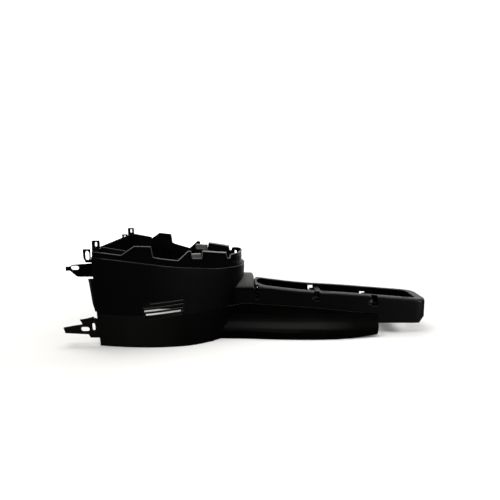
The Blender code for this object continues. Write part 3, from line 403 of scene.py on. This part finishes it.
ledge_corners = [c for c in corners_of("front_housing") if abs(c.z - line_height(step_line, c.x)) < ledge_slack]
step_path = []
for k in range(2, len(rim_path) - 2):
    along = (rim_path[k + 2].xy - rim_path[k - 2].xy).normalized()
    outward = Vector((along.y, -along.x))
    best = None
    for corner in ledge_corners:
        offset = corner.xy - rim_path[k].xy
        out = offset.dot(outward)
        if abs(offset.dot(along)) < step_slice and step_width[0] < out < step_width[1]:
            if best is None or out > best[0]:
                best = (out, corner)
    if best and (not step_path or (best[1] - step_path[-1]).length > step_stride):
        step_path.append(best[1].copy())
round_line("step_arris", step_path, step_radius, arris_highlight_finish)

for side, side_sign in both_sides:
    flange_corners = corners_of(f"return_flange_{side}")
    front_path = []
    for edge_x, edge_z in front_edge_corners:
        edge_corners = [
            c for c in flange_corners
            if abs(c.x - edge_x) < front_edge_slack and abs(c.z - edge_z) < front_edge_slack
        ]
        front_path.append(max(edge_corners, key=lambda c: c.y * side_sign) + front_edge_setback)
    round_line(f"front_arris_{side}", front_path, front_radius, arris_highlight_finish)

# Side skirts, one left and one right. Each lower panel is its own moulding, a shade paler than the housing, and
# hooks behind it with a thin tongue along the seam. The top of the flare is polished in a soft band along its middle
# and less glossy above and below it. Its upward faces outside that band and towards the rear are coloured darker, a
# painted shade, and the front end is coloured paler and warmer, a painted reflection of light from the floor.
skirt_finish = moulded_black("skirt_grain", (0.0050, 0.0050, 0.0045), 0.50, 0.10, 0.24, grain_pitch, 0.20, 0.0025)
skirt_sheen = 0.066
skirt_steep_share = 0.20
flare_height = 0.12
flare_stops = (
    (0.200, 0.08), (0.235, 0.20), (0.275, 0.75), (0.320, 1.00), (0.370, 0.22), (0.430, 0.04), (0.500, 0.10),
)
skirt_tree = skirt_finish.node_tree
skirt_shader = skirt_tree.nodes["Principled BSDF"]
skirt_place = add_step(skirt_tree, "TexCoord").outputs["Object"]
skirt_axes = add_step(skirt_tree, "SeparateXYZ", {"Vector": skirt_place}).outputs
skirt_surface = add_step(skirt_tree, "NewGeometry").outputs["Normal"]
skirt_facing = add_step(skirt_tree, "SeparateXYZ", {"Vector": skirt_surface}).outputs["Z"]
skirt_upward = graded(skirt_tree, skirt_facing, 0.25, 0.65)
flare_band = add_step(skirt_tree, "ValToRGB", {"Fac": graded(skirt_tree, skirt_axes["Z"], 0.0, flare_height)})
flare_band.color_ramp.interpolation = "EASE"
band_ends = flare_band.color_ramp.elements
band_ends[0].position, band_ends[1].position = 0.16, 0.57
band_ends[0].color, band_ends[1].color = (1.0, 1.0, 1.0, 1.0), (1.0, 1.0, 1.0, 1.0)
for height, share in flare_stops:
    band_ends.new(height).color = (share, share, share, 1.0)
skirt_gloss = add_step(skirt_tree, "Math", {
    0: graded(skirt_tree, skirt_axes["X"], 0.19, 0.30, skirt_sheen, 0.003),
    1: graded(skirt_tree, skirt_upward, 0.0, 1.0, skirt_steep_share, flare_band.outputs["Color"]),
}, operation="MULTIPLY").outputs[0]
skirt_tree.links.new(skirt_gloss, skirt_shader.inputs["Specular IOR Level"])
# Painted reflection: the front end is coloured paler and warmer, standing in for light bounced up from the floor.
overlay(skirt_finish, graded(skirt_tree, skirt_axes["X"], -0.19, -0.34, 0.0, 0.85), (0.026, 0.0255, 0.0212))
# Painted shade: the flare's upward faces outside the polished band, and towards the rear, are coloured darker.
skirt_flare_painted_shade = add_step(skirt_tree, "Math", {
    0: skirt_upward, 1: graded(skirt_tree, skirt_gloss, skirt_sheen, 0.0, 0.0, 0.75),
}, operation="MULTIPLY")
overlay(skirt_finish, skirt_flare_painted_shade.outputs[0], (0.0019, 0.0019, 0.0018))
for side, _ in both_sides:
    dress(nodes[f"side_skirt_{side}"], skirt_finish, 0.0004)

# Seam arrises. The upper edge of each skirt is rolled over along the seam, and the roll is coloured paler, a painted
# highlight, so that it shows as a thin pale line. The roll is moulded in one with the skirt.
seam_highlight_finish = moulded_black("seam_painted_highlight", (0.013, 0.013, 0.0125), 0.42, 0.25, 0.12, grain_pitch, 0.6)
seam_radius = 0.0007
seam_slack = 0.0030
seam_stride = 0.004
seam_inset = 0.0045
seam_step_out = 0.0002
seam_line = [
    (-0.4379, 0.0890), (-0.3528, 0.0890), (-0.2019, 0.0875), (-0.0529, 0.0940),
    (0.0282, 0.0887), (0.1871, 0.0778), (0.2782, 0.0684), (0.3791, 0.0598),
]
for side, side_sign in both_sides:
    outermost = {}
    for corner in corners_of(f"side_skirt_{side}"):
        if not seam_line[0][0] <= corner.x <= seam_line[-1][0]:
            continue
        if abs(corner.z - line_height(seam_line, corner.x)) < seam_slack:
            stretch = round(corner.x / seam_stride)
            held = outermost.get(stretch)
            if held is None or corner.y * side_sign > held.y * side_sign + seam_step_out:
                outermost[stretch] = corner
    seam_path = [outermost[stretch] for stretch in sorted(outermost)]
    reach = [abs(corner.y) for corner in seam_path]
    seam_path = [
        corner for k, corner in enumerate(seam_path)
        if abs(corner.y) > max(reach[max(k - 3, 0):k + 4]) - seam_inset
    ]
    round_line(f"seam_arris_{side}", seam_path, seam_radius, seam_highlight_finish)

# Rear carrier with its rails and nose. A satin moulding, slightly blue in the light, with softly rounded shoulders
# that are paler, partly from handling and partly a painted highlight. The walls of its long opening are left matt by
# a blasted core, and their colour is darkened, a painted shade.
carrier_gloss = 0.30
carrier_finish = moulded_black(
    "carrier_satin", (0.0026, 0.0028, 0.0034), 0.40, carrier_gloss, 0.16, 0.0008, 0.4, 0.0055,
)
carrier_tree = carrier_finish.node_tree
carrier_place = add_step(carrier_tree, "TexCoord").outputs["Object"]
carrier_axes = add_step(carrier_tree, "SeparateXYZ", {"Vector": carrier_place}).outputs
carrier_reach = add_step(carrier_tree, "Math", {0: carrier_axes["Y"]}, operation="ABSOLUTE").outputs[0]
carrier_surface = add_step(carrier_tree, "NewGeometry").outputs["Normal"]
carrier_facing = add_step(carrier_tree, "SeparateXYZ", {"Vector": carrier_surface}).outputs["Z"]
core_side_matt_and_shade = add_step(carrier_tree, "Math", {
    0: graded(carrier_tree, carrier_reach, 0.0600, 0.0585), 1: graded(carrier_tree, carrier_facing, 0.60, 0.30),
}, operation="MULTIPLY").outputs[0]
carrier_tree.links.new(
    graded(carrier_tree, core_side_matt_and_shade, 0.0, 1.0, carrier_gloss, 0.02),
    carrier_tree.nodes["Principled BSDF"].inputs["Specular IOR Level"],
)
# Painted shade: the inner walls of the long opening are coloured darker.
overlay(carrier_finish, core_side_matt_and_shade, (0.0008, 0.0008, 0.0009))
dress(nodes["rear_carrier"], carrier_finish, 0.0003)

# Saddle cover, the grey crowned bridge behind the housing. It is a thin moulding from a coarsely
# grained tool, and clips over the carrier's deck with its rolled edges.
saddle_finish = moulded_black("saddle_grey", (0.052, 0.052, 0.049), 0.50, 0.30, 0.70, 0.0024, 0.3)
dress(nodes["saddle_cover"], saddle_finish, 0.0004)

# Vent grilles. Slatted inserts of a satin plastic, pushed into the side openings from inside. The top of each slat
# is coloured paler, a painted highlight for the light it catches.
grille_finish = moulded_black(
    "grille_satin", (0.0016, 0.0016, 0.0016), 0.38, 0.45, 0.12, 0.0007, 0.3, painted_top_highlight=(0.075, 0.073, 0.070),
)
for side, _ in both_sides:
    dress(nodes[f"vent_grille_{side}"], grille_finish, 0.0003)

# Inner structure: lower tie, cross members, mount plate, double walls and return flanges. The
# same plastic straight from a smooth tool, ungrained, moulded or welded to the panels.
structure_finish = moulded_black("inner_smooth", (0.0026, 0.0026, 0.0028), 0.44, 0.30, 0.08, 0.0006, 0.5)
for name in ("lower_cross_tie", "cross_member_1", "cross_member_2", "rear_mount_plate"):
    dress(nodes[name], structure_finish, 0.0003)
for side, _ in both_sides:
    for name in ("double_wall", "return_flange"):
        dress(nodes[f"{name}_{side}"], structure_finish, 0.0003)

# Front cross wall. The bulkhead behind the mouth, an arched wall of the same plastic set between
# the two sides. A blasted tool leaves it matt.
bulkhead_finish = moulded_black("bulkhead_matt", (0.0026, 0.0026, 0.0030), 0.62, 0.0, 0.15, 0.0010, 0.3)
dress(nodes["front_cross_wall"], bulkhead_finish, 0.0003)

# Trim seats. The stepped channels inside the rim that the upper trim drops into, coloured pale grey along their
# upward tops, a painted highlight.
seat_highlight_finish = moulded_black(
    "seat_painted_highlight", (0.0010, 0.0010, 0.0010), 0.46, 0.30, 0.20, 0.0010, 0.3, painted_top_highlight=(0.150, 0.150, 0.143),
)
for side, _ in both_sides:
    dress(nodes[f"trim_seat_{side}"], seat_highlight_finish, 0.0003)

# Foam blocks. A pale closed-cell block is stuck on the low ledge of each trim seat to take up the
# play of the trim. It is sawn from sheet foam and bent to the rim's curve.
foam_finish = moulded_black("pale_foam", (0.300, 0.300, 0.285), 0.80, 0.20, 0.60, 0.0013, 0.0)
foam_ends = (-0.194, -0.150)
foam_stride = 0.002
foam_foot = 0.2350
foam_section = [
    (0.0048, foam_foot), (0.0046, 0.2480), (0.0060, 0.2496), (0.0160, 0.2492), (0.0172, 0.2478), (0.0174, foam_foot),
]
foam_easing = 0.0006
for side, side_sign in both_sides:
    rim_run = [p for p in rim_half[side_sign] if foam_ends[0] < p.x < foam_ends[1]]
    rim_run = [p for k, p in enumerate(rim_run) if k == 0 or p.x - rim_run[k - 1].x > foam_stride]
    foam_rows = []
    for k, point in enumerate(rim_run):
        along = (rim_run[min(k + 1, len(rim_run) - 1)].xy - rim_run[max(k - 1, 0)].xy).normalized()
        inward = Vector((along.y, -along.x)) * side_sign
        foam_rows.append([(*(point.xy + inward * into), z) for into, z in foam_section])
    foam = skin_over(f"foam_block_{side}", foam_rows, foam_finish, smooth=False)
    foam_edges = foam.modifiers.new("soft_edges", "BEVEL")
    foam_edges.width = foam_easing
    foam_edges.segments = 2
    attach(foam, "root")

# Felt strips. A narrow self-adhesive felt lies on top of each double wall and keeps the trim from
# rattling. It is cut from dark grey needled felt.
felt_finish = moulded_black("grey_felt", (0.090, 0.090, 0.086), 0.85, 0.10, 0.80, 0.0007, 0.0)
felt_section = [
    (-0.0017, -0.0002), (-0.0017, 0.0007), (-0.0010, 0.0011), (0.0010, 0.0011), (0.0017, 0.0007), (0.0017, -0.0002),
]
crest_depth = 0.0006
for side, _ in both_sides:
    wall_stations = {}
    for corner in corners_of(f"double_wall_{side}"):
        wall_stations.setdefault(round(corner.x, 3), []).append(corner)
    felt_rows = []
    for station in sorted(wall_stations):
        top = max(c.z for c in wall_stations[station])
        crest = [c for c in wall_stations[station] if c.z > top - crest_depth]
        middle = sum(c.y for c in crest) / len(crest)
        felt_rows.append([(crest[0].x, middle + across, top + up) for across, up in felt_section])
    felt = skin_over(f"felt_strip_{side}", felt_rows, felt_finish, smooth=False)
    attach(felt, "root")

# Spring clips, one in each notch of the rails. Each is a folded strip of blackened spring steel that
# stands on the notch's ledge and takes the peg of the armrest trim.
clip_steel = moulded_black("blackened_steel", (0.0060, 0.0060, 0.0064), 0.40, 0.45, 0.10, 0.0016, 0.3)
rail_notches = ((0.00615, 0.0085, 0.1040), (0.18515, 0.0155, 0.0985), (0.35915, 0.0175, 0.0820))
clip_play = 0.0012
clip_sheet, clip_sheet_across = 0.0007, 0.00063
clip_fold = [
    (0.0736, 0.0006), (0.0660, 0.0006), (0.0648, 0.0018), (0.0648, 0.0090), (0.0662, 0.0104), (0.0700, 0.0094),
]
for notch_x, notch_length, notch_floor in rail_notches:
    for side, side_sign in both_sides:
        clip_rows = []
        for end in (notch_x + clip_play, notch_x + notch_length - clip_play):
            lower = [(end, side_sign * y, notch_floor + z) for y, z in clip_fold]
            upper = [
                (end, side_sign * (y + clip_sheet_across), notch_floor + z + clip_sheet) for y, z in clip_fold
            ]
            clip_rows.append(lower + upper[::-1])
        clip_name = f"spring_clip_{side}_{round(notch_x * 1000)}"
        clip = skin_over(clip_name, clip_rows, clip_steel, smooth=False)
        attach(clip, "root")

# Nose screws. Two flanged hexagon screws with a zinc coat hold the nose down through the bosses of
# its mount plate. Each has a washer flange, a hexagon head and a plain shank.
screw_zinc = moulded_black("zinc_coat", (0.30, 0.30, 0.29), 0.36, 0.80, 0.12, 0.0011, 0.4)
screw_zinc.node_tree.nodes["Principled BSDF"].inputs["Metallic"].default_value = 0.9
screw_stages = ((32, 0.0085, 0.0001, 0.0014), (6, 0.0056, 0.0013, 0.0056), (20, 0.0040, -0.0120, 0.0005))
screw_taper = 0.96
screw_half_spacing = 0.030
screw_easing = 0.0004
plate_corners = corners_of("rear_mount_plate")
boss_top = max(c.z for c in plate_corners)
boss_middle = (min(c.x for c in plate_corners) + max(c.x for c in plate_corners)) / 2
for side, side_sign in both_sides:
    screw_mesh = bpy.data.meshes.new(f"nose_screw_{side}")
    screw_work = bmesh.new()
    for corners, radius, low, high in screw_stages:
        stage = bmesh.ops.create_cone(
            screw_work, cap_ends=True, segments=corners,
            radius1=radius, radius2=radius * screw_taper, depth=high - low,
        )
        stage_place = (boss_middle, side_sign * screw_half_spacing, boss_top + (low + high) / 2)
        bmesh.ops.translate(screw_work, vec=stage_place, verts=stage["verts"])
    screw_work.to_mesh(screw_mesh)
    screw_work.free()
    screw_mesh.materials.append(screw_zinc)
    screw = bpy.data.objects.new(f"nose_screw_{side}", screw_mesh)
    bpy.context.scene.collection.objects.link(screw)
    screw_edges = screw.modifiers.new("rolled_edges", "BEVEL")
    screw_edges.width = screw_easing
    screw_edges.segments = 2
    screw_edges.limit_method = "ANGLE"
    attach(screw, "root")

# Fixing brackets: corner posts, slotted clip boxes and the arms that screw to the dashboard frame.
# Moulded flanges from a smooth tool. The lower arms have a dusty brown cast from the carpet.
bracket_finish = moulded_black("bracket_smooth", (0.0034, 0.0032, 0.0028), 0.44, 0.35, 0.10, 0.0006, 0.5)
upper_arm_finish = moulded_black("upper_arm_matt", (0.0018, 0.0018, 0.0018), 0.50, 0.12, 0.10, 0.0006, 0.5)
lower_arm_finish = moulded_black("lower_arm_dusty", (0.0095, 0.0080, 0.0066), 0.48, 0.45, 0.10, 0.0006, 0.5)
for side, _ in both_sides:
    for name, finish in (
        ("corner_post", bracket_finish), ("clip_box", bracket_finish),
        ("upper_arm", upper_arm_finish), ("lower_arm", lower_arm_finish),
    ):
        dress(nodes[f"{name}_{side}"], finish, 0.0004)
